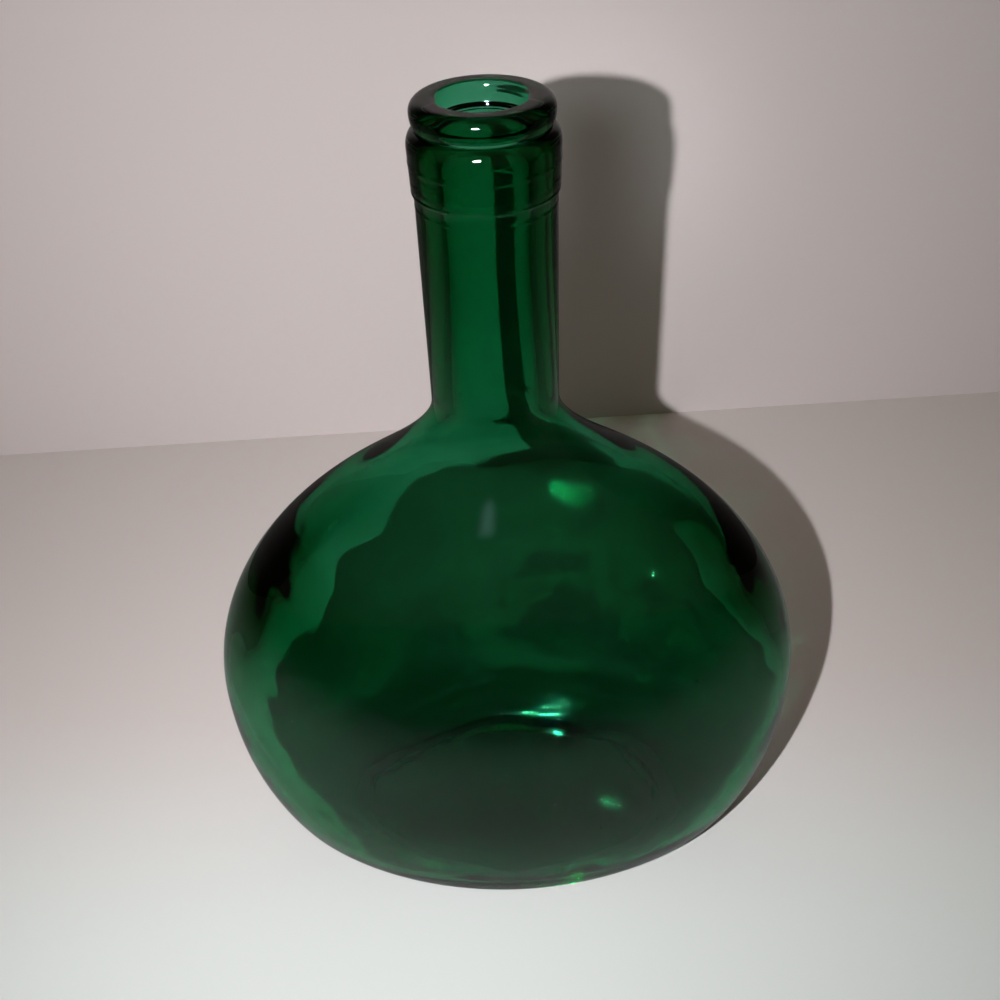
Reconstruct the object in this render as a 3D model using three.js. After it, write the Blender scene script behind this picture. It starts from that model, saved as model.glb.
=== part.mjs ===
// A bocksbeutel: a flattened round wine bottle, blown in one piece of green glass.
// Millimetres, +Z up. The origin is the middle of the base, on the plane that the bottle stands on.
// X runs across the wide front of the body, Y through its flat depth.
// The glass is one skin of stacked ovals: from the middle of the underside out over the standing ring,
// up the outside to the lip, over the mouth, and down the inside to the middle of the floor.
import * as THREE from 'three';

// Outside of the body. Seen from the front and from the side it is drawn by two curves above and
// below the belly, the widest level, each with its reach in height and its power (2 is an ellipse).
const bodyWidth = 158;
const bodyDepth = 88;
const bellyHeight = 56;
const crownWidthReach = 77.3;
const crownWidthPower = 2;
const crownDepthReach = 82;
const crownDepthPower = 2.2;
const lowerWidthReach = 88;
const lowerWidthPower = 2.1;
const lowerDepthReach = 75.5;
const lowerDepthPower = 2.45;

// Standing ring, heel and push-up of the base
const standingRingWidth = 98;
const standingRingDepth = 64;
const standingRingBand = 5;
const heelHeight = 10;
const heelSpread = 0.55;
const heelHandle = 5;
const pushUpHeight = 6;
const pushUpEdgeRise = 1.6;
const pushUpEdgeWidth = 3;

// Shoulder, where the crown of the body turns up into the neck
const shoulderHeight = 123.3;
const shoulderRise = 23.1;
const shoulderFootHandle = 5;
const shoulderNeckHandle = 9.7;

// Neck and finish. A drop is a distance down from the top of the lip.
const bottleHeight = 217.6;
const neckFootRadius = 15.2;
const neckTopRadius = 15.5;
const neckTopDrop = 21.6;
const collarFootRadius = 16.15;
const collarFootDrop = 18;
const collarRadius = 16.45;
const collarDrop = 9.6;
const mouldLineDrop = 19.4;
const mouldLineWidth = 0.9;
const mouldLineProud = 0.2;
const grooveRadius = 14.2;
const grooveDrop = 6.1;
const lipRadius = 15.4;
const lipBellyDrop = 2.6;
const lipRollWidth = 2.5;
const boreRadius = 9.25;
const boreEdgeRadius = 1.5;

// Thickness of the glass
const wall = 3.5;
const floorThickness = 5;
const neckBoreRadius = 10.3;
const boreTaperTopDrop = 38;

// Facets round the bottle, and where the levels of the push-up and of the floor over it fall,
// as shares of the way out to their edge
const facets = 56;
const pushUpShares = [0.3, 0.6, 0.82, 1];
const floorShares = [0.8, 0.55, 0.3];

// The two curves of the body: half the width of each, and how each closes above and below the belly
const frontCurve = {
  half: bodyWidth / 2,
  crownReach: crownWidthReach,
  crownPower: crownWidthPower,
  lowerReach: lowerWidthReach,
  lowerPower: lowerWidthPower,
};
const sideCurve = {
  half: bodyDepth / 2,
  crownReach: crownDepthReach,
  crownPower: crownDepthPower,
  lowerReach: lowerDepthReach,
  lowerPower: lowerDepthPower,
};

// Half the body's extent at a height, set inwards by a thickness of glass
function bodyHalf(curve, inset, z) {
  const above = z > bellyHeight;
  const reach = (above ? curve.crownReach : curve.lowerReach) - inset;
  const power = above ? curve.crownPower : curve.lowerPower;
  const part = Math.min(Math.abs(z - bellyHeight) / reach, 1);
  return (curve.half - inset) * (1 - part ** power) ** (1 / power);
}

// How fast that half extent changes with height
function bodySlope(curve, inset, z) {
  const step = 0.01;
  return (bodyHalf(curve, inset, z + step) - bodyHalf(curve, inset, z - step)) / (2 * step);
}

function cubic(p0, p1, p2, p3, t) {
  const s = 1 - t;
  return p0 * s ** 3 + 3 * p1 * t * s ** 2 + 3 * p2 * t ** 2 * s + p3 * t ** 3;
}

// Numbers from just after 0 up to 1
function steps(count) {
  return Array.from({ length: count }, (_, i) => (i + 1) / count);
}

// One level of the skin: an oval by its height and its half extents along X and Y
function oval(z, halfX, halfY) {
  return { z, halfX, halfY };
}

function round(z, radius) {
  return oval(z, radius, radius);
}

// The heel rolls out from the flat of the base, at floorZ, and up into the side of the body, at topZ
function heel(inset, floorZ, footX, footY, topZ, count) {
  const rise = topZ - floorZ;
  const handle = heelHandle * rise / heelHeight;
  const profile = (curve, foot, t) => {
    const top = bodyHalf(curve, inset, topZ);
    const near = foot + heelSpread * (top - foot);
    return cubic(foot, near, top - bodySlope(curve, inset, topZ) * handle, top, t);
  };
  return steps(count).map((t) => oval(
    cubic(floorZ, floorZ, topZ - handle, topZ, t),
    profile(frontCurve, footX, t),
    profile(sideCurve, footY, t),
  ));
}

// The round body from the heel past the belly to the shoulder, with levels closer as it draws in
function belly(inset, fromZ, toZ, lowerCount, crownCount) {
  const lower = steps(lowerCount).map((t) => fromZ + (bellyHeight - fromZ) * t);
  const reach = crownWidthReach - inset;
  const topAngle = Math.asin((toZ - bellyHeight) / reach);
  const crown = steps(crownCount).map((t) => bellyHeight + reach * Math.sin(topAngle * t));
  return [...lower, ...crown].map((z) => oval(
    z,
    bodyHalf(frontCurve, inset, z),
    bodyHalf(sideCurve, inset, z),
  ));
}

// The shoulder turns from the slope of the crown, at fromZ, to the upright neck, at toZ
function shoulder(inset, fromZ, toZ, neckRadius, count) {
  const profile = (curve, t) => {
    const foot = bodyHalf(curve, inset, fromZ);
    const near = foot + bodySlope(curve, inset, fromZ) * shoulderFootHandle;
    return cubic(foot, near, neckRadius, neckRadius, t);
  };
  return steps(count).map((t) => oval(
    cubic(fromZ, fromZ + shoulderFootHandle, toZ - shoulderNeckHandle, toZ, t),
    profile(frontCurve, t),
    profile(sideCurve, t),
  ));
}

// Points of a quarter ellipse from (r0, z0) to (r1, z1), bulging towards the corner (r1, z0) or (r0, z1)
function quarterRound(r0, z0, r1, z1, bulgeAtStartHeight, count) {
  return steps(count).map((t) => {
    const turn = t * Math.PI / 2;
    const across = bulgeAtStartHeight ? Math.sin(turn) : 1 - Math.cos(turn);
    const up = bulgeAtStartHeight ? 1 - Math.cos(turn) : Math.sin(turn);
    return round(z0 + (z1 - z0) * up, r0 + (r1 - r0) * across);
  });
}

// Underside: a shallow oval dome inside the standing ring, and the flat ring itself
function underside() {
  const ringX = standingRingWidth / 2;
  const ringY = standingRingDepth / 2;
  const edgeX = ringX - standingRingBand;
  const edgeY = ringY - standingRingBand;
  const domeX = edgeX - pushUpEdgeWidth;
  const domeY = edgeY - pushUpEdgeWidth;
  const domeRise = pushUpHeight - pushUpEdgeRise;
  const dome = pushUpShares.map((s) => oval(pushUpHeight - domeRise * s ** 2, domeX * s, domeY * s));
  return [...dome, oval(0, edgeX, edgeY), oval(0, ringX, ringY)];
}

// Neck, thin line left by the mould, collar, groove and rolled lip, up to the flat top of the lip
function neckAndFinish() {
  const down = (drop, radius) => round(bottleHeight - drop, radius);
  const mouldLine = (drop) => {
    const part = (neckTopDrop - drop) / (neckTopDrop - collarFootDrop);
    return neckTopRadius + (collarFootRadius - neckTopRadius) * part;
  };
  const half = mouldLineWidth / 2;
  return [
    down(neckTopDrop, neckTopRadius),
    down(mouldLineDrop + half, mouldLine(mouldLineDrop + half)),
    down(mouldLineDrop, mouldLine(mouldLineDrop) + mouldLineProud),
    down(mouldLineDrop - half, mouldLine(mouldLineDrop - half)),
    down(collarFootDrop, collarFootRadius),
    down(collarDrop, collarRadius),
    ...quarterRound(collarRadius, bottleHeight - collarDrop, grooveRadius, bottleHeight - grooveDrop, false, 4),
    ...quarterRound(grooveRadius, bottleHeight - grooveDrop, lipRadius, bottleHeight - lipBellyDrop, true, 3),
    ...quarterRound(lipRadius, bottleHeight - lipBellyDrop, lipRadius - lipRollWidth, bottleHeight, false, 5),
  ];
}

// Mouth edge and bore, down to where the cavity opens below the shoulder
function mouthAndBore(neckFootZ) {
  const top = bottleHeight;
  const edge = boreRadius + boreEdgeRadius;
  const roll = steps(4).map((t) => {
    const turn = t * Math.PI / 2;
    return round(top - boreEdgeRadius * (1 - Math.cos(turn)), edge - boreEdgeRadius * Math.sin(turn));
  });
  return [
    round(top, edge),
    ...roll,
    round(top - boreTaperTopDrop, boreRadius),
    round(neckFootZ, neckBoreRadius),
  ];
}

// Cavity: the same family of curves as the outside, drawn smaller by the wall, listed from the top down
function cavity(neckFootZ) {
  const floorEdgeZ = floorThickness;
  const footX = standingRingWidth / 2 - wall / 2;
  const footY = standingRingDepth / 2 - wall / 2;
  const heelTopZ = heelHeight + floorThickness;
  const shoulderZ = shoulderHeight - wall;
  const upwards = [
    oval(floorEdgeZ, footX, footY),
    ...heel(wall, floorEdgeZ, footX, footY, heelTopZ, 5),
    ...belly(wall, heelTopZ, shoulderZ, 5, 9),
    ...shoulder(wall, shoulderZ, neckFootZ, neckBoreRadius, 7).slice(0, -1),
  ];
  const floorDome = floorShares.map((s) => (
    oval(floorEdgeZ + pushUpHeight * (1 - s ** 2), footX * s, footY * s)
  ));
  return [...upwards.reverse(), ...floorDome];
}

// Closes a chain of ovals into one skin, with a point on the axis at each end
function skin(levels, startZ, endZ) {
  const positions = [0, 0, startZ];
  levels.forEach(({ z, halfX, halfY }) => {
    for (let i = 0; i < facets; i += 1) {
      const turn = 2 * Math.PI * i / facets;
      positions.push(halfX * Math.cos(turn), halfY * Math.sin(turn), z);
    }
  });
  positions.push(0, 0, endZ);
  const end = positions.length / 3 - 1;
  const at = (level, i) => 1 + level * facets + (i % facets);
  const triangles = [];
  for (let i = 0; i < facets; i += 1) {
    triangles.push(0, at(0, i + 1), at(0, i));
    triangles.push(end, at(levels.length - 1, i), at(levels.length - 1, i + 1));
  }
  for (let level = 0; level < levels.length - 1; level += 1) {
    for (let i = 0; i < facets; i += 1) {
      triangles.push(at(level, i), at(level, i + 1), at(level + 1, i + 1));
      triangles.push(at(level, i), at(level + 1, i + 1), at(level + 1, i));
    }
  }
  const geometry = new THREE.BufferGeometry();
  geometry.setAttribute('position', new THREE.Float32BufferAttribute(positions, 3));
  geometry.setIndex(triangles);
  geometry.computeVertexNormals();
  return geometry;
}

function glassBottle() {
  const neckFootZ = shoulderHeight + shoulderRise;
  const levels = [
    ...underside(),
    ...heel(0, 0, standingRingWidth / 2, standingRingDepth / 2, heelHeight, 6),
    ...belly(0, heelHeight, shoulderHeight, 7, 11),
    ...shoulder(0, shoulderHeight, neckFootZ, neckFootRadius, 9),
    ...neckAndFinish(),
    ...mouthAndBore(neckFootZ),
    ...cavity(neckFootZ),
  ];
  return skin(levels, pushUpHeight, floorThickness + pushUpHeight);
}

const glass = new THREE.MeshStandardMaterial({
  color: 0x0f5a35,
  roughness: 0.05,
  metalness: 0,
  transparent: true,
  opacity: 0.55,
});

const bottle = new THREE.Mesh(glassBottle(), glass);
bottle.name = 'glass_bottle';

const group = new THREE.Group();
group.add(bottle);

export default group;
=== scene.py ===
# The looks of the green bocksbeutel: its glass as one fine smooth skin, on a pale floor in front of a
# pale wall, under one small lamp beside the camera and a dim room light.
# Sizes are in millimetres, as in the CAD source, and become metres where Blender takes them.
import math

import bpy
from mathutils import Matrix, Vector, noise


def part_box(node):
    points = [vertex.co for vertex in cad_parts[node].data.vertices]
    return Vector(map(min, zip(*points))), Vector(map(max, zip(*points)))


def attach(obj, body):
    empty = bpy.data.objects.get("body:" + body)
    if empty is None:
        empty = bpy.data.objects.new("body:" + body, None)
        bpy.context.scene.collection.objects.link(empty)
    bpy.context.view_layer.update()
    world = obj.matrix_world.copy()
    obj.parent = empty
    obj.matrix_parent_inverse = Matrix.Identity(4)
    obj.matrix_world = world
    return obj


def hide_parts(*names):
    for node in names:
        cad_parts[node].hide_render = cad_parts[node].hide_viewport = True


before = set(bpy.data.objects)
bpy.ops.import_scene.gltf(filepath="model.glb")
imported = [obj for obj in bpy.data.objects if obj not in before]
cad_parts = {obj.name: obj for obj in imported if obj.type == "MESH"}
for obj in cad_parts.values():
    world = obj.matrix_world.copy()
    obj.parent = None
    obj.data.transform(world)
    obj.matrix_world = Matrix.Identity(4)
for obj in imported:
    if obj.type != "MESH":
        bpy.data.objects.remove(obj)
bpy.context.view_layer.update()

MM = 0.001

# The bottle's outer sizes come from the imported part
low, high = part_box("glass_bottle")
BODY_WIDTH = (high.x - low.x) / MM
BODY_DEPTH = (high.y - low.y) / MM
BOTTLE_HEIGHT = (high.z - low.z) / MM

# Body: how its two outlines close above and below the belly, each by a reach and a power
BELLY_HEIGHT = 56
FRONT = {"half": BODY_WIDTH / 2, "crown_reach": 77.3, "crown_power": 2,
         "lower_reach": 88, "lower_power": 2.1}
SIDE = {"half": BODY_DEPTH / 2, "crown_reach": 82, "crown_power": 2.2,
        "lower_reach": 75.5, "lower_power": 2.45}
SLOPE_STEP = 0.01

# Base and heel
RING_WIDTH = 98
RING_DEPTH = 64
RING_BAND = 5
HEEL_HEIGHT = 10
HEEL_SPREAD = 0.55
HEEL_HANDLE = 5
PUSH_UP_HEIGHT = 6
PUSH_UP_EDGE_RISE = 1.6
PUSH_UP_EDGE_WIDTH = 3
PUSH_UP_EDGE_POWER = 1.5

# Shoulder
SHOULDER_HEIGHT = 123.3
SHOULDER_RISE = 23.1
SHOULDER_FOOT_HANDLE = 5
SHOULDER_NECK_HANDLE = 9.7

# Neck and finish. A drop is a distance down from the top of the lip.
NECK_FOOT_RADIUS = 15.2
NECK_TOP_RADIUS = 15.5
NECK_TOP_DROP = 21.6
NECK_LINE_SPAN = 3
COLLAR_FOOT_RADIUS = 16.15
COLLAR_FOOT_DROP = 18
COLLAR_RADIUS = 16.45
COLLAR_DROP = 9.6
GROOVE_RADIUS = 14.2
GROOVE_DROP = 6.1
LIP_RADIUS = 15.4
LIP_BELLY_DROP = 2.6
LIP_ROLL_WIDTH = 2.5
BORE_RADIUS = 9.25
BORE_EDGE_RADIUS = 1.5
BORE_LINES_END_DROP = 10
# Fine ridges round the finish and inside the mouth: drop, width, how far proud
OUTER_LINES = ((12.9, 1.3, 0.1), (19.4, 0.9, 0.2), (22.6, 0.9, 0.08))
BORE_LINES = ((2.4, 0.9, 0.12), (5.2, 1.4, 0.4), (8.2, 1.2, 0.12))

# Thickness of the glass
WALL = 3.5
FLOOR_THICKNESS = 5
NECK_BORE_RADIUS = 10.3
BORE_TAPER_TOP_DROP = 38

# Blown glass is never even. The inside waves in the body and less in the neck, the outside hardly does,
# and the glass gathers thicker under the crown on both sides and at the back of the heel. All of it goes
# inwards.
WAVE = 1.6
NECK_WAVE = 0.5
OUTSIDE_WAVE = 0.05
WAVE_LENGTH = 38
WAVE_SMOOTHNESS = 1.4
WAVE_RATIO = 2.3
WAVE_LENGTHS = 3
# The body's waves fade from this far under the shoulder, and the neck's between two drops
BODY_WAVE_FADE = 25
NECK_WAVE_UP_TO_DROP = 30
CALM_FROM_DROP = 10
THICK_SIDES = 7
THICK_HEIGHT = 90
THICK_SPAN = 18
THICK_HEEL = 1.5
HEEL_THICK_HEIGHT = 14
HEEL_THICK_SPAN = 9
# Where the heel's gather starts and is full, as sines of the turn round the bottle (1 is the back)
HEEL_THICK_FROM = -0.3
HEEL_THICK_FULL = 0.7

# Seeds, the small bubbles in the middle of the wall: turn round the bottle in degrees (270 is the front),
# height and length
SEEDS = ((236, 24, 0.8), (262, 15, 0.7), (288, 35, 0.9), (291, 30, 0.7), (284, 29, 0.6),
         (301, 33, 0.8), (233, 62, 0.7), (296, 58, 0.8), (250, 88, 0.6), (281, 70, 0.5),
         (310, 80, 0.7), (215, 44, 0.6), (25, 60, 0.8), (62, 40, 0.7), (80, 72, 0.6),
         (104, 30, 0.8), (131, 66, 0.7), (150, 48, 0.6), (352, 50, 0.7))
SEED_ASPECT = 0.55
SEED_RINGS = 8
SEED_SIDES = 12

# How finely the skin is drawn: points round the bottle, and ovals along each stretch of it
FACETS = 240
DOME_STEPS = 14
DOME_EDGE_STEPS = 6
RING_STEPS = 4
OUTSIDE_STEPS = {"heel": 18, "lower": 24, "crown": 34, "shoulder": 28}
INSIDE_STEPS = {"heel": 16, "lower": 20, "crown": 30, "shoulder": 24}
NECK_STEPS = (16, 20, 24, 40)
GROOVE_FOOT_STEPS = 14
GROOVE_TOP_STEPS = 12
LIP_STEPS = 16
LAND_STEPS = 4
BORE_EDGE_STEPS = 12
BORE_STEPS = (44, 10)
TAPER_STEPS = 12

# The glass: its colour comes from what it takes out of light on the way through
GLASS_IOR = 1.52
GLASS_COLOUR = (0.08, 0.7, 0.5, 1)
GLASS_DENSITY = 500
# Where the skin is not clear: the crest of a mould line, and thin scuffs at the heel
MATT_LINE_DROP = 19.4
MATT_LINE_WIDTH = 0.5
WORN_ROUGHNESS = 0.2
WORN_BUMP = 0.1
WORN_HEIGHT = 0.05
SCUFFS_UP_TO = 30
SCUFFS_START = 1
SCUFFS_FULL_FROM = 4
SCUFF_SCALE = (90, 90, 1400)
SCUFF_DETAIL = 3
SCUFF_FROM = 0.68
SCUFF_EDGE = 0.06

# Camera, as read from the photograph's perspective: the photo's frame is 1000 pixels square
CAMERA_PLACE = Vector((3.5, -249.9, 299.95))
CAMERA_PITCH = 0.638
CAMERA_HEADING = 0.014
CAMERA_ROLL = 0.045
FOCAL_PIXELS = 1225.4
FRAME_PIXELS = 1000
SENSOR_WIDTH = 36

# Where the wall stands behind the bottle, and how far it is turned from square
WALL_DISTANCE = 212.2
WALL_TURN = 0.048
WALL_HEIGHT = 1500
STAGE_HALF = 2500

# The lamp stands beside the camera. Three more light nothing: one shows only as glints on the finish, one
# only as sparks inside the glass, and a dim bluish one beside them only as a glow on the shoulder.
LAMP_PLACE = Vector((-51.9, -270.4, 308.5))
LAMP_AIM = Vector((-25, 120, 60))
LAMP_SIZE = (5, 5)
LAMP_WATTS = 0.95
LAMP_SPREAD = 110
# The part of the lamp's light, by colour, that the glass passes on to the floor. The rest stops at it.
LAMP_THROUGH = (0.13, 0.55, 0.3)
GLINT_AIM = Vector((0, 0, 207))
GLINT_SIZE = (95, 62)
GLINT_WATTS = 0.11
GLINT_SPREAD = 12
SPARK_SIZE = (60, 18)
SPARK_WATTS = 4.2
GLOW_PLACE = Vector((-40, -262, 335))
GLOW_AIM = Vector((0, 0, 130))
GLOW_SIZE = (80, 70)
GLOW_WATTS = 0.012
GLOW_SPREAD = 180
GLOW_COLOUR = (0.55, 0.85, 1)
# The least and the most times that light may meet the glass, counted with the lamp: a reflection from
# the skin nearest to the eye is the second, and one from the far wall comes after the fourth
FIRST_MEETING = (0, 2)
DEEP_MEETINGS = (5, 24)
HALF_A_MEETING = 0.5

# Dim room light, and the pale colour that a view past the floor and the wall shows
ROOM_COLOUR = (1, 0.95, 0.66, 1)
ROOM_LIGHT = 0.03
ROOM_FROM_ABOVE = 0.18
ROOM_IN_GLOSS = 0.03
PALE_COLOUR = (0.6, 0.59, 0.58, 1)

# Floor and wall: paint, its faint unevenness, and the painted shade that each gets in mirror reflections
# only, where the wall also keeps a painted pool of light round a spot and gets darker with the distance
# from it.
# The floor turns from its own colour in front to a painted tint of the room light at the back, pinker and
# darker.
FLOOR_NEAR_UP_TO = -60
FLOOR_FAR_FROM = 60
FLOOR_NEAR = (0.651, 0.678, 0.675)
FLOOR_FAR_PAINTED_TINT = (0.62, 0.56, 0.553)
FLOOR_ROUGHNESS = 0.6
FLOOR_IN_GLOSS = 0.35
WALL_PAPER = (0.578, 0.515, 0.515)
WALL_ROUGHNESS = 0.8
WALL_IN_GLOSS = 0.6
WALL_DIM_IN_GLOSS = 0.12
WALL_SPOT = Vector((0, 212, 280))
WALL_SPOT_INNER = 90
WALL_SPOT_OUTER = 230
GRAIN_SCALE = 3
GRAIN_DETAIL = 4
GRAIN_SHADES = (0.97, 1.03)

# Painted shade: a dark card just over the floor in front, out of the camera's view, that only reflections
# show
CARD_NEAR = -78
CARD_BLACK_FROM = -170
CARD_HEIGHT = 1
SHADE_CARD_COLOUR = (0.01, 0.01, 0.01, 1)
CARD_ROUGHNESS = 0.9

# Light crosses four skins of glass on its way through the bottle, and more where it turns inside them
BOUNCES = 24
TRANSMISSION_BOUNCES = 20
GLOSSY_BOUNCES = 8


def body_half(curve, inset, z):
    """Half the body's extent at a height, set inwards by a thickness of glass."""
    above = z > BELLY_HEIGHT
    reach = curve["crown_reach" if above else "lower_reach"] - inset
    power = curve["crown_power" if above else "lower_power"]
    part = min(abs(z - BELLY_HEIGHT) / reach, 1)
    return (curve["half"] - inset) * (1 - part ** power) ** (1 / power)


def body_slope(curve, inset, z):
    above = body_half(curve, inset, z + SLOPE_STEP)
    below = body_half(curve, inset, z - SLOPE_STEP)
    return (above - below) / (2 * SLOPE_STEP)


def cubic(p0, p1, p2, p3, t):
    s = 1 - t
    return p0 * s ** 3 + 3 * p1 * t * s ** 2 + 3 * p2 * t ** 2 * s + p3 * t ** 3


def steps(count):
    """Numbers from just after 0 up to 1."""
    return [(i + 1) / count for i in range(count)]


def heel(inset, floor_z, foot_x, foot_y, top_z, count):
    """Ovals (height, half width, half depth) from the flat of the base up into the body."""
    handle = HEEL_HANDLE * (top_z - floor_z) / HEEL_HEIGHT

    def profile(curve, foot, t):
        top = body_half(curve, inset, top_z)
        near = foot + HEEL_SPREAD * (top - foot)
        return cubic(foot, near, top - body_slope(curve, inset, top_z) * handle, top, t)

    return [(cubic(floor_z, floor_z, top_z - handle, top_z, t),
             profile(FRONT, foot_x, t), profile(SIDE, foot_y, t)) for t in steps(count)]


def belly(inset, from_z, to_z, lower_count, crown_count):
    """Ovals of the round body, closer together as it draws in to the shoulder."""
    reach = FRONT["crown_reach"] - inset
    top_angle = math.asin((to_z - BELLY_HEIGHT) / reach)
    heights = [from_z + (BELLY_HEIGHT - from_z) * t for t in steps(lower_count)]
    heights += [BELLY_HEIGHT + reach * math.sin(top_angle * t) for t in steps(crown_count)]
    return [(z, body_half(FRONT, inset, z), body_half(SIDE, inset, z)) for z in heights]


def shoulder(inset, from_z, to_z, neck_radius, count):
    """Ovals from the slope of the crown to the upright neck."""
    def profile(curve, t):
        foot = body_half(curve, inset, from_z)
        near = foot + body_slope(curve, inset, from_z) * SHOULDER_FOOT_HANDLE
        return cubic(foot, near, neck_radius, neck_radius, t)

    return [(cubic(from_z, from_z + SHOULDER_FOOT_HANDLE, to_z - SHOULDER_NECK_HANDLE, to_z, t),
             profile(FRONT, t), profile(SIDE, t)) for t in steps(count)]


def circle(z, radius):
    return (z, radius, radius)


def straights(corners, counts):
    """Circles along the straight stretches between corners (height, radius), so many to each stretch."""
    return [circle(z0 + (z1 - z0) * t, r0 + (r1 - r0) * t)
            for (z0, r0), (z1, r1), count in zip(corners, corners[1:], counts) for t in steps(count)]


def quarter_round(z0, r0, z1, r1, bulge_at_start, count):
    """Circles along a quarter ellipse, bulging towards the corner (r1, z0) or (r0, z1)."""
    levels = []
    for t in steps(count):
        turn = t * math.pi / 2
        across = math.sin(turn) if bulge_at_start else 1 - math.cos(turn)
        up = 1 - math.cos(turn) if bulge_at_start else math.sin(turn)
        levels.append(circle(z0 + (z1 - z0) * up, r0 + (r1 - r0) * across))
    return levels


def ridges(z, lines):
    """How far the fine ridges stand proud at a height."""
    drop = BOTTLE_HEIGHT - z
    return sum(proud * max(0, 1 - (2 * (drop - middle) / width) ** 2) for middle, width, proud in lines)


def underside():
    """The push-up with its curved edge, and the flat standing ring."""
    edge_x = RING_WIDTH / 2 - RING_BAND
    edge_y = RING_DEPTH / 2 - RING_BAND
    dome_x = edge_x - PUSH_UP_EDGE_WIDTH
    dome_y = edge_y - PUSH_UP_EDGE_WIDTH
    rise = PUSH_UP_HEIGHT - PUSH_UP_EDGE_RISE
    levels = [(PUSH_UP_HEIGHT - rise * s ** 2, dome_x * s, dome_y * s) for s in steps(DOME_STEPS)]
    for s in steps(DOME_EDGE_STEPS):
        bend = PUSH_UP_EDGE_RISE * (1 - s) ** PUSH_UP_EDGE_POWER
        levels.append((bend, dome_x + (edge_x - dome_x) * s, dome_y + (edge_y - dome_y) * s))
    levels += [(0, edge_x + RING_BAND * s, edge_y + RING_BAND * s) for s in steps(RING_STEPS)]
    return levels


def outside_of_body(neck_foot_z):
    count = OUTSIDE_STEPS
    levels = underside()
    levels += heel(0, 0, RING_WIDTH / 2, RING_DEPTH / 2, HEEL_HEIGHT, count["heel"])
    levels += belly(0, HEEL_HEIGHT, SHOULDER_HEIGHT, count["lower"], count["crown"])
    levels += shoulder(0, SHOULDER_HEIGHT, neck_foot_z, NECK_FOOT_RADIUS, count["shoulder"])
    return levels


def neck_and_finish(neck_foot_z):
    """Neck, mould lines, collar, groove and rolled lip, up to the flat top of the lip."""
    top = BOTTLE_HEIGHT
    corners = ((neck_foot_z, NECK_FOOT_RADIUS),
               (top - NECK_TOP_DROP - NECK_LINE_SPAN, NECK_TOP_RADIUS),
               (top - NECK_TOP_DROP, NECK_TOP_RADIUS),
               (top - COLLAR_FOOT_DROP, COLLAR_FOOT_RADIUS),
               (top - COLLAR_DROP, COLLAR_RADIUS))
    levels = [circle(z, radius + ridges(z, OUTER_LINES)) for z, radius, _ in straights(corners, NECK_STEPS)]
    levels += quarter_round(top - COLLAR_DROP, COLLAR_RADIUS,
                            top - GROOVE_DROP, GROOVE_RADIUS, False, GROOVE_FOOT_STEPS)
    levels += quarter_round(top - GROOVE_DROP, GROOVE_RADIUS,
                            top - LIP_BELLY_DROP, LIP_RADIUS, True, GROOVE_TOP_STEPS)
    levels += quarter_round(top - LIP_BELLY_DROP, LIP_RADIUS,
                            top, LIP_RADIUS - LIP_ROLL_WIDTH, False, LIP_STEPS)
    return levels


def mouth_and_bore(neck_foot_z):
    """The flat land of the lip, the bore's rounded edge, the bore with its ridges, and its taper."""
    top = BOTTLE_HEIGHT
    edge = BORE_RADIUS + BORE_EDGE_RADIUS
    taper_top = top - BORE_TAPER_TOP_DROP
    levels = straights(((top, LIP_RADIUS - LIP_ROLL_WIDTH), (top, edge)), (LAND_STEPS,))
    levels += quarter_round(top, edge, top - BORE_EDGE_RADIUS, BORE_RADIUS, True, BORE_EDGE_STEPS)
    bore = straights(((top - BORE_EDGE_RADIUS, BORE_RADIUS),
                      (top - BORE_LINES_END_DROP, BORE_RADIUS),
                      (taper_top, BORE_RADIUS)), BORE_STEPS)
    levels += [circle(z, radius - ridges(z, BORE_LINES)) for z, radius, _ in bore]
    levels += straights(((taper_top, BORE_RADIUS), (neck_foot_z, NECK_BORE_RADIUS)), (TAPER_STEPS,))
    return levels


def cavity(neck_foot_z):
    """The same family of curves as the outside, drawn smaller by the wall, from the top down."""
    count = INSIDE_STEPS
    foot_x = RING_WIDTH / 2 - WALL / 2
    foot_y = RING_DEPTH / 2 - WALL / 2
    heel_top = HEEL_HEIGHT + FLOOR_THICKNESS
    shoulder_z = SHOULDER_HEIGHT - WALL
    upwards = [(FLOOR_THICKNESS, foot_x, foot_y)]
    upwards += heel(WALL, FLOOR_THICKNESS, foot_x, foot_y, heel_top, count["heel"])
    upwards += belly(WALL, heel_top, shoulder_z, count["lower"], count["crown"])
    upwards += shoulder(WALL, shoulder_z, neck_foot_z, NECK_BORE_RADIUS, count["shoulder"])[:-1]
    floor_dome = [(FLOOR_THICKNESS + PUSH_UP_HEIGHT * (1 - s ** 2), foot_x * s, foot_y * s)
                  for s in reversed(steps(DOME_STEPS)[:-1])]
    return upwards[::-1] + floor_dome


def wave(point):
    """A smooth unevenness at a point, between 0 and about 1, in waves of three lengths."""
    rough = noise.fractal(point / WAVE_LENGTH, WAVE_SMOOTHNESS, WAVE_RATIO, WAVE_LENGTHS)
    return max(0.5 + 0.5 * rough, 0)


def smooth(low_end, high_end, value):
    """0 up to the low end, 1 from the high end, and smooth between."""
    t = min(max((value - low_end) / (high_end - low_end), 0), 1)
    return t * t * (3 - 2 * t)


def bell(value, middle, span):
    return math.exp(-((value - middle) / span) ** 2)


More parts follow.
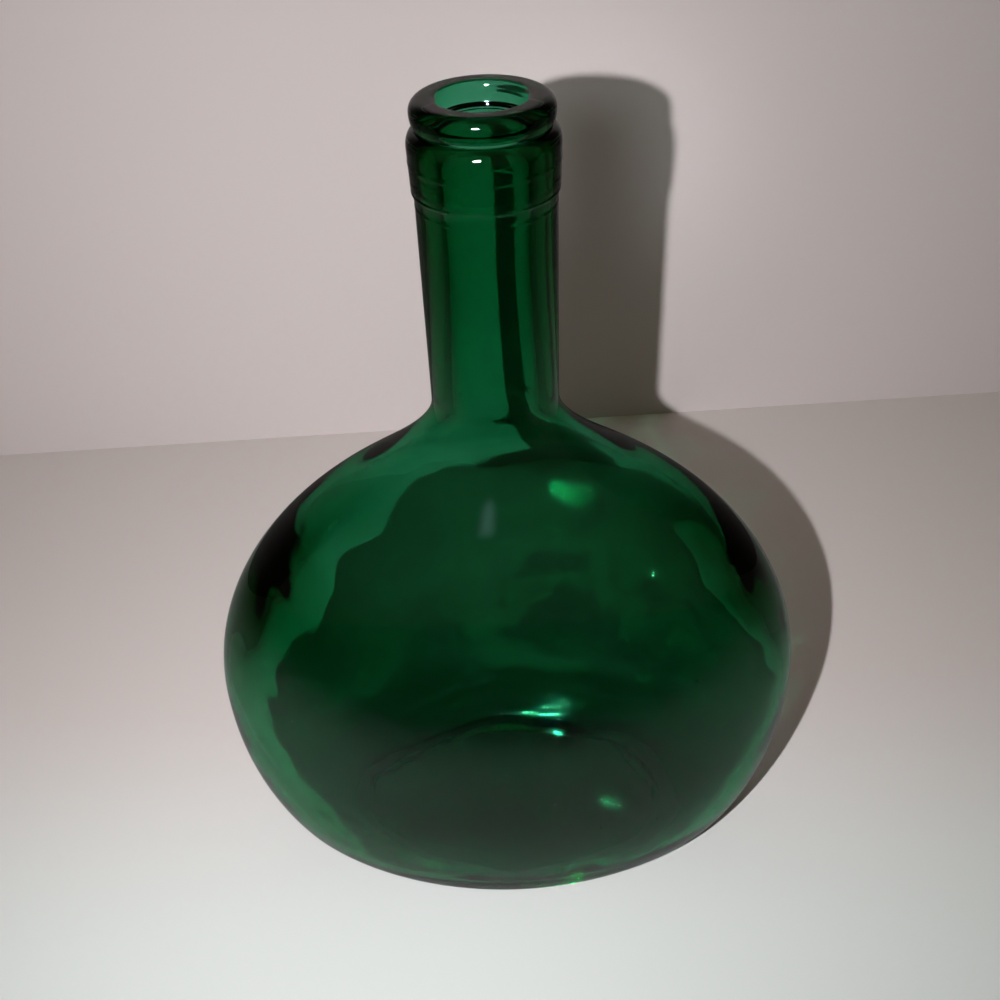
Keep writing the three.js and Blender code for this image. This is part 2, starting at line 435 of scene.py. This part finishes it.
def extra_inside(point, across, back):
    """How far the inner skin stands in from its even wall, where across and back are the cosine and the
    sine of the turn round the bottle."""
    in_body = 1 - smooth(SHOULDER_HEIGHT - BODY_WAVE_FADE, SHOULDER_HEIGHT + SHOULDER_RISE, point.z)
    below_mouth = 1 - smooth(BOTTLE_HEIGHT - NECK_WAVE_UP_TO_DROP, BOTTLE_HEIGHT - CALM_FROM_DROP, point.z)
    gather = bell(point.z, THICK_HEIGHT, THICK_SPAN) * across ** 2
    heel_gather = bell(point.z, HEEL_THICK_HEIGHT, HEEL_THICK_SPAN)
    heel_gather *= smooth(HEEL_THICK_FROM, HEEL_THICK_FULL, back)
    depth = NECK_WAVE * below_mouth + (WAVE - NECK_WAVE) * in_body + THICK_SIDES * gather
    return depth * wave(point) + THICK_HEEL * heel_gather


def glass_mesh():
    """The whole bottle as one closed skin of stacked ovals, from the underside to the inner floor, and
    the seeds in its wall."""
    neck_foot_z = SHOULDER_HEIGHT + SHOULDER_RISE
    outer = outside_of_body(neck_foot_z) + neck_and_finish(neck_foot_z)
    inner = mouth_and_bore(neck_foot_z) + cavity(neck_foot_z)
    levels = outer + inner
    points = [Vector((0, 0, PUSH_UP_HEIGHT))]
    for number, (z, half_x, half_y) in enumerate(levels):
        is_inside = number >= len(outer)
        is_flat_end = z <= 0 or z >= BOTTLE_HEIGHT
        for i in range(FACETS):
            turn = 2 * math.pi * i / FACETS
            point = Vector((half_x * math.cos(turn), half_y * math.sin(turn), z))
            inwards = Vector((-math.cos(turn) / half_x, -math.sin(turn) / half_y, 0)).normalized()
            if is_flat_end:
                extra = 0
            elif is_inside:
                extra = extra_inside(point, math.cos(turn), math.sin(turn))
            else:
                extra = OUTSIDE_WAVE * wave(point)
            points.append(point + inwards * extra)
    points.append(Vector((0, 0, FLOOR_THICKNESS + PUSH_UP_HEIGHT)))
    faces = faces_between(len(levels), len(points) - 1)
    for seed in SEEDS:
        add_seed(points, faces, *seed)
    return points, faces


def faces_between(level_count, last):
    """Squares between the ovals, and fans round the first and the last point."""
    def at(level, i):
        return 1 + level * FACETS + i % FACETS

    faces = []
    for i in range(FACETS):
        faces.append((0, at(0, i + 1), at(0, i)))
        faces.append((last, at(level_count - 1, i), at(level_count - 1, i + 1)))
    for level in range(level_count - 1):
        for i in range(FACETS):
            faces.append((at(level, i), at(level, i + 1), at(level + 1, i + 1), at(level + 1, i)))
    return faces


def add_seed(points, faces, turn, height, length):
    """A long closed bubble in the middle of the wall, its faces turned into its air."""
    turn = math.radians(turn)
    middle = Vector((body_half(FRONT, WALL / 2, height) * math.cos(turn),
                     body_half(SIDE, WALL / 2, height) * math.sin(turn), height))
    first = len(points)
    for ring in range(1, SEED_RINGS):
        tilt = math.pi * ring / SEED_RINGS
        spread = math.sin(tilt) * SEED_ASPECT
        for i in range(SEED_SIDES):
            spin = 2 * math.pi * i / SEED_SIDES
            offset = Vector((spread * math.cos(spin), spread * math.sin(spin), math.cos(tilt)))
            points.append(middle + offset * length / 2)
    points.append(middle + Vector((0, 0, length / 2)))
    points.append(middle - Vector((0, 0, length / 2)))
    top, bottom = len(points) - 2, len(points) - 1
    last = first + (SEED_RINGS - 2) * SEED_SIDES
    for i in range(SEED_SIDES):
        j = (i + 1) % SEED_SIDES
        faces.append((top, first + j, first + i))
        faces.append((bottom, last + i, last + j))
        for ring in range(SEED_RINGS - 2):
            a = first + ring * SEED_SIDES
            faces.append((a + i, a + j, a + SEED_SIDES + j, a + SEED_SIDES + i))


def mesh_object(name, points, faces, material):
    mesh = bpy.data.meshes.new(name)
    mesh.from_pydata([p * MM for p in points], [], faces)
    mesh.materials.append(material)
    mesh.update()
    piece = bpy.data.objects.new(name, mesh)
    bpy.context.scene.collection.objects.link(piece)
    return piece


def sheet(name, corners, material):
    return mesh_object(name, [Vector(corner) for corner in corners], [(0, 1, 2, 3)], material)


def new_material(name):
    material = bpy.data.materials.new(name)
    material.use_nodes = True
    tree = material.node_tree
    return material, tree, tree.nodes["Principled BSDF"], tree.nodes["Material Output"]


def math_node(tree, operation, a, b):
    """The result of a sum, where each of the two values is a number or a socket."""
    node = tree.nodes.new("ShaderNodeMath")
    node.operation = operation
    for number, value in enumerate((a, b)):
        if isinstance(value, (int, float)):
            node.inputs[number].default_value = value
        else:
            tree.links.new(value, node.inputs[number])
    return node.outputs["Value"]


def smooth_range(tree, value, start, end):
    """0 at the start and 1 at the end of a range, smooth between."""
    fade = tree.nodes.new("ShaderNodeMapRange")
    fade.interpolation_type = "SMOOTHSTEP"
    fade.inputs["From Min"].default_value = start
    fade.inputs["From Max"].default_value = end
    tree.links.new(value, fade.inputs["Value"])
    return fade.outputs["Result"]


def object_place(tree):
    return tree.nodes.new("ShaderNodeTexCoord").outputs["Object"]


def along_axis(tree, axis):
    parts = tree.nodes.new("ShaderNodeSeparateXYZ")
    tree.links.new(object_place(tree), parts.inputs["Vector"])
    return parts.outputs[axis]


def distance(tree, place, point):
    away = tree.nodes.new("ShaderNodeVectorMath")
    away.operation = "DISTANCE"
    away.inputs[1].default_value = point
    tree.links.new(place, away.inputs[0])
    return away.outputs["Value"]


def noise_node(tree, scale, detail):
    grain = tree.nodes.new("ShaderNodeTexNoise")
    grain.inputs["Scale"].default_value = scale
    grain.inputs["Detail"].default_value = detail
    return grain


def mixed(tree, factor, a, b):
    """A mix of two colours, each a colour or a socket."""
    mix = tree.nodes.new("ShaderNodeMix")
    mix.data_type = "RGBA"
    tree.links.new(factor, mix.inputs["Factor"])
    for side, colour in (("A", a), ("B", b)):
        if isinstance(colour, tuple):
            mix.inputs[side].default_value = (*colour, 1)
        else:
            tree.links.new(colour, mix.inputs[side])
    return mix.outputs["Result"]


def mixed_shaders(tree, factor, a, b):
    mix = tree.nodes.new("ShaderNodeMixShader")
    tree.links.new(factor, mix.inputs["Fac"])
    tree.links.new(a, mix.inputs[1])
    tree.links.new(b, mix.inputs[2])
    return mix.outputs["Shader"]


def clear_shader(tree):
    return tree.nodes.new("ShaderNodeBsdfTransparent").outputs["BSDF"]


def wear(tree):
    """1 on the matt crest of the mould line and in the fine scuffs round the heel, 0 on clear glass."""
    height = along_axis(tree, "Z")
    off_line = math_node(tree, "SUBTRACT", height, (BOTTLE_HEIGHT - MATT_LINE_DROP) * MM)
    off_line = math_node(tree, "ABSOLUTE", off_line, 0)
    crest = smooth_range(tree, off_line, MATT_LINE_WIDTH / 2 * MM, MATT_LINE_WIDTH / 4 * MM)
    low_down = smooth_range(tree, height, SCUFFS_UP_TO * MM, SCUFFS_UP_TO / 2 * MM)
    off_floor = smooth_range(tree, height, SCUFFS_START * MM, SCUFFS_FULL_FROM * MM)
    stretch = tree.nodes.new("ShaderNodeMapping")
    stretch.inputs["Scale"].default_value = SCUFF_SCALE
    tree.links.new(object_place(tree), stretch.inputs["Vector"])
    grain = noise_node(tree, 1, SCUFF_DETAIL)
    tree.links.new(stretch.outputs["Vector"], grain.inputs["Vector"])
    thin = tree.nodes.new("ShaderNodeMapRange")
    thin.inputs["From Min"].default_value = SCUFF_FROM
    thin.inputs["From Max"].default_value = SCUFF_FROM + SCUFF_EDGE
    tree.links.new(grain.outputs["Fac"], thin.inputs["Value"])
    where = math_node(tree, "MULTIPLY", low_down, off_floor)
    return math_node(tree, "MAXIMUM", crest, math_node(tree, "MULTIPLY", where, thin.outputs["Result"]))


def glass_material():
    """Emerald bottle glass: clear, smooth, and coloured by the thickness that light crosses."""
    material, tree, shader, output = new_material("emerald_glass")
    shader.inputs["Base Color"].default_value = (1, 1, 1, 1)
    shader.inputs["IOR"].default_value = GLASS_IOR
    shader.inputs["Transmission Weight"].default_value = 1
    worn = wear(tree)
    tree.links.new(math_node(tree, "MULTIPLY", worn, WORN_ROUGHNESS), shader.inputs["Roughness"])
    bump = tree.nodes.new("ShaderNodeBump")
    bump.inputs["Strength"].default_value = WORN_BUMP
    bump.inputs["Distance"].default_value = WORN_HEIGHT * MM
    tree.links.new(worn, bump.inputs["Height"])
    tree.links.new(bump.outputs["Normal"], shader.inputs["Normal"])
    body = tree.nodes.new("ShaderNodeVolumeAbsorption")
    body.inputs["Color"].default_value = GLASS_COLOUR
    body.inputs["Density"].default_value = GLASS_DENSITY
    tree.links.new(body.outputs["Volume"], output.inputs["Volume"])
    return material


def dimmer(colour, factor):
    return tuple(c * factor for c in colour)


def pale_material(name, near, far, roughness):
    """Pale paint with a faint unevenness, from a colour in front to one at the back. On the floor the
    change towards the back is a painted tint of the room light, pinker and darker. The paint is handed
    back, to be mixed with what mirror reflections show."""
    material, tree, shader, output = new_material(name)
    shader.inputs["Roughness"].default_value = roughness
    back = smooth_range(tree, along_axis(tree, "Y"), FLOOR_NEAR_UP_TO * MM, FLOOR_FAR_FROM * MM)
    grain = noise_node(tree, GRAIN_SCALE, GRAIN_DETAIL)
    shades = [mixed(tree, back, dimmer(near, k), dimmer(far, k)) for k in GRAIN_SHADES]
    return material, tree, shader, output, mixed(tree, grain.outputs["Fac"], *shades)


def paint_shade_in_mirrors(tree, shader, paint, painted_mirror_shade):
    """Paints shade into mirror reflections: they get a darker colour of their own, and everything else the
    paint.
    """
    path = tree.nodes.new("ShaderNodeLightPath")
    mirrored = math_node(tree, "MULTIPLY", path.outputs["Is Glossy Ray"], path.outputs["Is Reflection Ray"])
    tree.links.new(mixed(tree, mirrored, paint, painted_mirror_shade), shader.inputs["Base Color"])


def wall_material():
    """Pale paper, seen only from its front, so that a view from behind looks past it."""
    material, tree, shader, output, paint = pale_material("wall_paper", WALL_PAPER, WALL_PAPER,
                                                          WALL_ROUGHNESS)
    # Painted light and shade, in mirror reflections only: round a spot the wall keeps more of its
    # brightness, and away from it it darkens.
    from_spot = distance(tree, object_place(tree), WALL_SPOT * MM)
    away = smooth_range(tree, from_spot, WALL_SPOT_INNER * MM, WALL_SPOT_OUTER * MM)
    paint_shade_in_mirrors(tree, shader, paint, mixed(tree, away, dimmer(WALL_PAPER, WALL_IN_GLOSS),
                                              dimmer(WALL_PAPER, WALL_DIM_IN_GLOSS)))
    behind = tree.nodes.new("ShaderNodeNewGeometry").outputs["Backfacing"]
    seen = mixed_shaders(tree, behind, shader.outputs["BSDF"], clear_shader(tree))
    tree.links.new(seen, output.inputs["Surface"])
    return material


def shade_card_material():
    """Painted shade for reflections: black from a line on, clear nearer, and clear to every view that isn't
    by way of a reflection.
    """
    material, tree, shader, output = new_material("painted_shade_card")
    shader.inputs["Base Color"].default_value = SHADE_CARD_COLOUR
    shader.inputs["Roughness"].default_value = CARD_ROUGHNESS
    shader.inputs["Specular IOR Level"].default_value = 0
    black = smooth_range(tree, along_axis(tree, "Y"), CARD_NEAR * MM, CARD_BLACK_FROM * MM)
    path = tree.nodes.new("ShaderNodeLightPath")
    mirrored = math_node(tree, "GREATER_THAN", path.outputs["Glossy Depth"], HALF_A_MEETING)
    seen = mixed_shaders(tree, math_node(tree, "MULTIPLY", black, mirrored),
                         clear_shader(tree), shader.outputs["BSDF"])
    tree.links.new(seen, output.inputs["Surface"])
    return material


def build_stage():
    half = STAGE_HALF
    paint_job, tree, shader, _, paint = pale_material("floor_paint", FLOOR_NEAR, FLOOR_FAR_PAINTED_TINT, FLOOR_ROUGHNESS)
    # Painted shade: mirror reflections show the floor darker than it is.
    paint_shade_in_mirrors(tree, shader, paint, dimmer(FLOOR_NEAR, FLOOR_IN_GLOSS))
    floor = sheet("floor", ((-half, -half, 0), (half, -half, 0), (half, half, 0), (-half, half, 0)),
                  paint_job)
    floor.cycles.is_caustics_receiver = True

    along = Vector((math.cos(WALL_TURN), math.sin(WALL_TURN), 0)) * half
    foot = Vector((0, WALL_DISTANCE, 0))
    up = Vector((0, 0, WALL_HEIGHT))
    corners = (foot - along, foot + along, foot + along + up, foot - along + up)
    sheet("wall", corners, wall_material())

    # Painted shade: a dark card that only reflections in the glass show.
    card = sheet("card", ((-half, -half, CARD_HEIGHT), (half, -half, CARD_HEIGHT),
                          (half, CARD_NEAR, CARD_HEIGHT), (-half, CARD_NEAR, CARD_HEIGHT)), shade_card_material())
    card.visible_camera = False
    card.visible_diffuse = False
    card.visible_shadow = False


def build_camera():
    data = bpy.data.cameras.new("camera")
    data.sensor_width = SENSOR_WIDTH
    data.lens = SENSOR_WIDTH * FOCAL_PIXELS / FRAME_PIXELS
    camera = bpy.data.objects.new("camera", data)
    bpy.context.scene.collection.objects.link(camera)
    turn = (Matrix.Rotation(CAMERA_HEADING, 4, "Z")
            @ Matrix.Rotation(math.pi / 2 - CAMERA_PITCH, 4, "X")
            @ Matrix.Rotation(-CAMERA_ROLL, 4, "Z"))
    camera.matrix_world = Matrix.Translation(CAMERA_PLACE * MM) @ turn
    bpy.context.scene.camera = camera


def room_world():
    """Dim light for surfaces, dimmer still in reflections, and pale where a view looks past the stage,
    whether through air alone or straight through the glass."""
    world = bpy.data.worlds.new("room")
    world.use_nodes = True
    tree = world.node_tree
    room = tree.nodes["Background"]
    room.inputs["Color"].default_value = ROOM_COLOUR
    aim = tree.nodes.new("ShaderNodeTexCoord")
    parts = tree.nodes.new("ShaderNodeSeparateXYZ")
    tree.links.new(aim.outputs["Generated"], parts.inputs["Vector"])
    above = tree.nodes.new("ShaderNodeMapRange")
    above.inputs["To Min"].default_value = ROOM_LIGHT
    above.inputs["To Max"].default_value = ROOM_FROM_ABOVE
    tree.links.new(parts.outputs["Z"], above.inputs["Value"])
    path = tree.nodes.new("ShaderNodeLightPath")
    level = tree.nodes.new("ShaderNodeMix")
    level.inputs["B"].default_value = ROOM_IN_GLOSS
    tree.links.new(above.outputs["Result"], level.inputs["A"])
    tree.links.new(path.outputs["Is Glossy Ray"], level.inputs["Factor"])
    tree.links.new(level.outputs["Result"], room.inputs["Strength"])

    pale = tree.nodes.new("ShaderNodeBackground")
    pale.inputs["Color"].default_value = PALE_COLOUR
    turns = math_node(tree, "ADD", path.outputs["Glossy Depth"], path.outputs["Diffuse Depth"])
    straight = math_node(tree, "LESS_THAN", turns, HALF_A_MEETING)
    through = math_node(tree, "MULTIPLY", path.outputs["Is Transmission Ray"], straight)
    past = math_node(tree, "MAXIMUM", path.outputs["Is Camera Ray"], through)
    seen = mixed_shaders(tree, past, room.outputs["Background"], pale.outputs["Background"])
    tree.links.new(seen, tree.nodes["World Output"].inputs["Surface"])
    return world


def area_lamp(name, place, aim, size, watts, spread, colour=(1, 1, 1)):
    data = bpy.data.lights.new(name, "AREA")
    data.shape = "ELLIPSE"
    data.size = size[0] * MM
    data.size_y = size[1] * MM
    data.energy = watts
    data.spread = math.radians(spread)
    data.color = colour
    lamp = bpy.data.objects.new(name, data)
    bpy.context.scene.collection.objects.link(lamp)
    lamp.location = place * MM
    lamp.rotation_euler = (aim - place).to_track_quat("-Z", "Y").to_euler()
    return lamp


def show_only(lamp, in_gloss, meetings, soft_edge=False):
    """Keeps a lamp from lighting surfaces: it is seen only in the glass's outer gloss or through it, after
    the least up to the most meetings with the glass. A soft edge fades it out from its middle."""
    lamp.visible_diffuse = False
    lamp.visible_volume_scatter = False
    lamp.visible_glossy = in_gloss
    lamp.visible_transmission = not in_gloss
    lamp.data.use_nodes = True
    tree = lamp.data.node_tree
    path = tree.nodes.new("ShaderNodeLightPath")
    least, most = meetings
    direct = math_node(tree, "LESS_THAN", path.outputs["Diffuse Depth"], HALF_A_MEETING)
    enough = math_node(tree, "GREATER_THAN", path.outputs["Ray Depth"], least - HALF_A_MEETING)
    not_more = math_node(tree, "LESS_THAN", path.outputs["Ray Depth"], most + HALF_A_MEETING)
    shown = math_node(tree, "MULTIPLY", math_node(tree, "MULTIPLY", direct, enough), not_more)
    if soft_edge:
        on_lamp = tree.nodes.new("ShaderNodeNewGeometry").outputs["Parametric"]
        off_middle = distance(tree, on_lamp, (0.5, 0.5, 0))
        shown = math_node(tree, "MULTIPLY", shown, smooth_range(tree, off_middle, 0.5, 0))
    tree.links.new(shown, tree.nodes["Emission"].inputs["Strength"])


def build_light():
    stopped = tuple(1 - c for c in LAMP_THROUGH)
    for name, colour, passes in (("lamp", stopped, False), ("lamp_through_glass", LAMP_THROUGH, True)):
        lamp = area_lamp(name, LAMP_PLACE, LAMP_AIM, LAMP_SIZE, LAMP_WATTS, LAMP_SPREAD, colour)
        lamp.data.cycles.is_caustics_light = passes
        lamp.visible_glossy = False
        lamp.visible_transmission = False
    glint = area_lamp("glint", LAMP_PLACE, GLINT_AIM, GLINT_SIZE, GLINT_WATTS, GLINT_SPREAD)
    show_only(glint, True, FIRST_MEETING)
    spark = area_lamp("spark", LAMP_PLACE, LAMP_AIM, SPARK_SIZE, SPARK_WATTS, LAMP_SPREAD)
    show_only(spark, False, DEEP_MEETINGS)
    glow = area_lamp("glow", GLOW_PLACE, GLOW_AIM, GLOW_SIZE, GLOW_WATTS, GLOW_SPREAD, GLOW_COLOUR)
    show_only(glow, True, FIRST_MEETING, soft_edge=True)
    bpy.context.scene.world = room_world()


def build_bottle():
    points, faces = glass_mesh()
    bottle = mesh_object("bottle_glass", points, faces, glass_material())
    for face in bottle.data.polygons:
        face.use_smooth = True
    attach(bottle, "root")
    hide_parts("glass_bottle")
    bottle.cycles.is_caustics_caster = True


build_bottle()
build_stage()
build_camera()
build_light()

scene = bpy.context.scene
scene.view_settings.view_transform = "Standard"
scene.cycles.max_bounces = BOUNCES
scene.cycles.transmission_bounces = TRANSMISSION_BOUNCES
scene.cycles.glossy_bounces = GLOSSY_BOUNCES
scene.cycles.sample_clamp_indirect = 0
